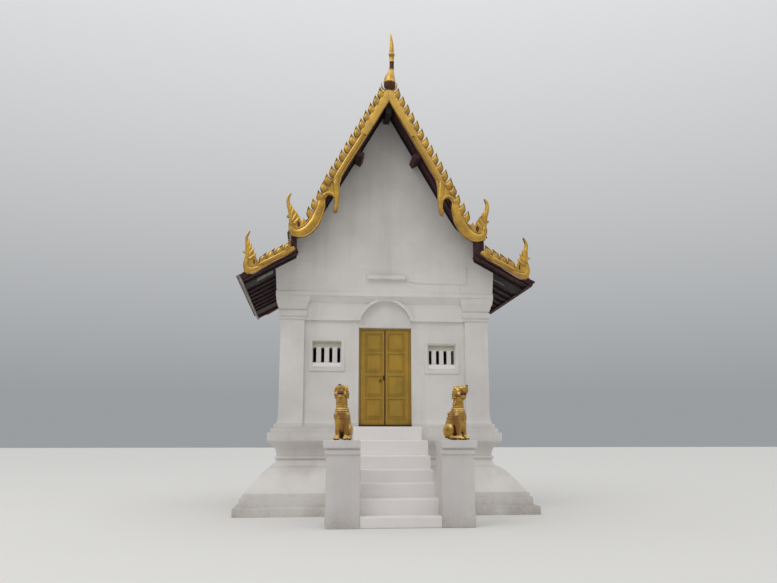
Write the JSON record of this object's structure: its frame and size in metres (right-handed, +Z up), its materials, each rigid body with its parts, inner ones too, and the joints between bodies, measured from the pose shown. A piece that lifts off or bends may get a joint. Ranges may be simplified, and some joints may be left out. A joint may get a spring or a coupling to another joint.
{
  "type": "buddhist ordination hall",
  "caption": "Small white masonry ordination hall on a tall moulded plinth, with a stair between lion piers, a panelled double door and a two-tier gable roof with gilded toothed bargeboards.",
  "frame": {"origin": "ground level under the centre of the hall, on the underside of the plinth", "axes": "+Z up, the door and the stair face -Y, +X to the right when the front is looked at"},
  "size_m": [5.7862, 7.178, 9.53],
  "materials": {
    "plaster": "matt limewashed plaster",
    "gold_paint": "satin gold paint",
    "door_paint": "satin ochre paint",
    "threshold_wood": "worn dark wood",
    "roof_timber": "matt dark red paint",
    "roof_tile": "weathered fired clay"
  },
  "bodies": {
    "hall": {"plinth_foot": "plaster", "plinth_slope": "plaster", "plinth_waist": "plaster", "plinth_crown": "plaster", "floor_slab": "plaster", "pilaster_front_right": "plaster", "pilaster_back_right": "plaster", "pilaster_back_left": "plaster", "pilaster_front_left": "plaster", "front_wall_left": "plaster", "front_wall_right": "plaster", "window_grille_front_left": "plaster", "window_grille_front_right": "plaster", "front_frieze": "plaster", "back_wall": "plaster", "front_gable": "plaster", "back_gable": "plaster", "side_wall_left": "plaster", "window_grille_left_front": "plaster", "window_grille_left_back": "plaster", "side_wall_right": "plaster", "window_grille_right_front": "plaster", "window_grille_right_back": "plaster", "door_frame": "door_paint", "door_threshold": "threshold_wood", "step_1": "plaster", "step_2": "plaster", "step_3": "plaster", "step_4": "plaster", "step_5": "plaster", "step_6": "plaster", "door_step": "plaster", "stair_pier_left": "plaster", "stair_pier_right": "plaster", "lion_left": "gold_paint", "lion_right": "gold_paint", "upper_roof_left": "roof_tile", "lower_roof_left": "roof_tile", "purlin_left": "roof_timber", "upper_roof_right": "roof_tile", "lower_roof_right": "roof_tile", "purlin_right": "roof_timber", "ridge_beam": "roof_timber", "ridge_cap": "roof_tile", "upper_bargeboards_front": "gold_paint", "lower_bargeboard_front_left": "gold_paint", "lower_bargeboard_front_right": "gold_paint", "upper_bargeboards_back": "gold_paint", "lower_bargeboard_back_left": "gold_paint", "lower_bargeboard_back_right": "gold_paint", "foot_beam_left": "roof_timber", "foot_beam_right": "roof_timber", "apex_finial_front": "gold_paint", "apex_finial_back": "gold_paint"},
    "left_leaf": {"door_leaf_left": "door_paint"},
    "right_leaf": {"door_leaf_right": "door_paint"}
  },
  "joints": [
    {"name": "left_leaf_hinge", "type": "hinge", "parent": "hall", "child": "left_leaf", "pos_m": [-0.48, -1.686, 2.58], "axis": [0, 0, 1], "range_deg": [0, 90]},
    {"name": "right_leaf_hinge", "type": "hinge", "parent": "hall", "child": "right_leaf", "pos_m": [0.48, -1.686, 2.58], "axis": [0, 0, -1], "range_deg": [0, 90]}
  ]
}
